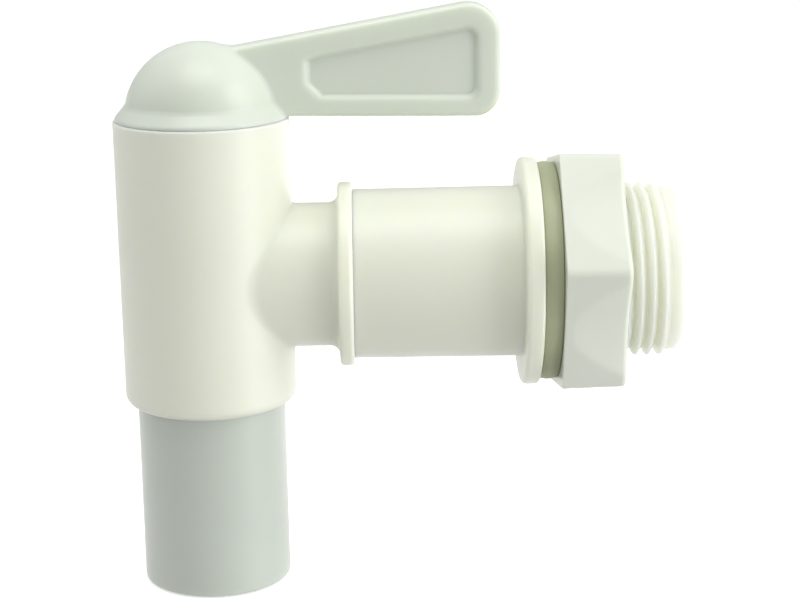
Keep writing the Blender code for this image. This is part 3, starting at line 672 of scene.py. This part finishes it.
# ---------------------------------------------------------------- studio
# The tap stands on its spout on a plain pale floor, in soft light that is strongest from above and
# from the right. The camera stands a little above the shank and looks down at it.
floor_half = 8.0
floor_gap = 0.0002
floor_mesh = bpy.data.meshes.new("floor")
floor_z = cad_box[0].z - floor_gap
corners = [(floor_half * x, floor_half * y, floor_z) for x, y in ((-1, -1), (1, -1), (1, 1), (-1, 1))]
floor_mesh.from_pydata(corners, [], [(0, 1, 2, 3)])
floor = bpy.data.objects.new("floor", floor_mesh)
bpy.context.scene.collection.objects.link(floor)
floor.visible_diffuse = False    # it stays evenly pale and throws no light back up
floor.visible_shadow = False
floor_paint = bpy.data.materials.new("floor_paint")
floor_paint.use_nodes = True
paint = floor_paint.node_tree.nodes["Principled BSDF"].inputs
paint["Base Color"].default_value = (0.98, 0.98, 0.98, 1)
paint["Roughness"].default_value = 0.9
paint["Emission Color"].default_value = (1, 1, 1, 1)
paint["Emission Strength"].default_value = 0.4
floor_mesh.materials.append(floor_paint)

world = bpy.data.worlds.new("studio")
bpy.context.scene.world = world
world.use_nodes = True
world_nodes = world.node_tree.nodes
world_link = world.node_tree.links.new
surround = world_nodes["Background"]
surround.inputs["Color"].default_value = (1, 1, 1, 1)
direction = world_nodes.new('ShaderNodeTexCoord')
level = world_nodes.new('ShaderNodeValue').outputs["Value"]
level.default_value = 0.42


def reckon(operation, first, second):
    """One sum in the surround's strength. Returns its result."""
    node = world_nodes.new('ShaderNodeMath')
    node.operation = operation
    world_link(first, node.inputs[0])
    if isinstance(second, float):
        node.inputs[1].default_value = second
    else:
        world_link(second, node.inputs[1])
    return node.outputs["Value"]


# Soft pale reflectors all round: the way that each one stands from the tap, and its strength.
for way, strength in (((0.7, 0, 0.7), 0.50), ((-1, 0, 0), 0.35), ((-0.7, 0, 0.7), 0.80),
                      ((0, 0.7, 0.7), 0.34), ((1, -0.45, -0.25), 1.40)):
    facing = world_nodes.new('ShaderNodeVectorMath')
    facing.operation = 'DOT_PRODUCT'
    facing.inputs[1].default_value = Vector(way).normalized()
    world_link(direction.outputs["Generated"], facing.inputs[0])
    glow = reckon('POWER', reckon('MAXIMUM', facing.outputs["Value"], 0.0), 6.0)
    level = reckon('ADD', reckon('MULTIPLY', glow, strength), level)
world_link(level, surround.inputs["Strength"])
# What the camera sees past the floor is plain white.
backdrop = world_nodes.new('ShaderNodeBackground')
backdrop.inputs["Color"].default_value = (1, 1, 1, 1)
backdrop.inputs["Strength"].default_value = 1.0
camera_only = world_nodes.new('ShaderNodeLightPath')
choose = world_nodes.new('ShaderNodeMixShader')
world_link(camera_only.outputs["Is Camera Ray"], choose.inputs["Fac"])
world_link(surround.outputs["Background"], choose.inputs[1])
world_link(backdrop.outputs["Background"], choose.inputs[2])
world_link(choose.outputs["Shader"], world_nodes["World Output"].inputs["Surface"])

middle = Vector((-0.01, 0, 0))


def softbox(name, place, size, power):
    """Square area light at a place, turned towards the middle of the tap."""
    light = bpy.data.lights.new(name, 'AREA')
    light.size = size
    light.energy = power
    lamp = bpy.data.objects.new(name, light)
    lamp.location = place
    lamp.rotation_mode = 'QUATERNION'
    lamp.rotation_quaternion = (middle - Vector(place)).to_track_quat('-Z', 'Y')
    lamp.visible_camera = False
    bpy.context.scene.collection.objects.link(lamp)


softbox("key_light", (0.25, -0.10, 0.20), 0.20, 0.31)
softbox("top_light", (-0.05, -0.05, 0.25), 0.15, 0.20)
softbox("upper_fill", (0.05, -0.05, 0.20), 0.12, 0.025)
softbox("low_right_fill", (0.14, -0.10, -0.04), 0.08, 0.050)
softbox("front_fill", (0.05, -0.35, -0.02), 0.20, 0.065)
softbox("back_light", (0.05, 0.15, -0.02), 0.10, 0.043)

camera = bpy.data.objects.new("camera", bpy.data.cameras.new("camera"))
bpy.context.scene.collection.objects.link(camera)
camera.data.sensor_width = 36
camera.data.lens = 85.45         # millimetres, as the sensor's width
camera.data.clip_start = 0.01
camera.location = (-0.0259, -0.2808, 0.0678)
look_down = math.radians(14.4)
look_right = math.radians(1.066)
roll = math.radians(-0.775)
look = Vector((math.sin(look_right) * math.cos(look_down), math.cos(look_right) * math.cos(look_down),
               -math.sin(look_down)))
camera.rotation_mode = 'QUATERNION'
camera.rotation_quaternion = look.to_track_quat('-Z', 'Y') @ Quaternion((0, 0, 1), roll)
bpy.context.scene.camera = camera
bpy.context.scene.view_settings.view_transform = 'Standard'
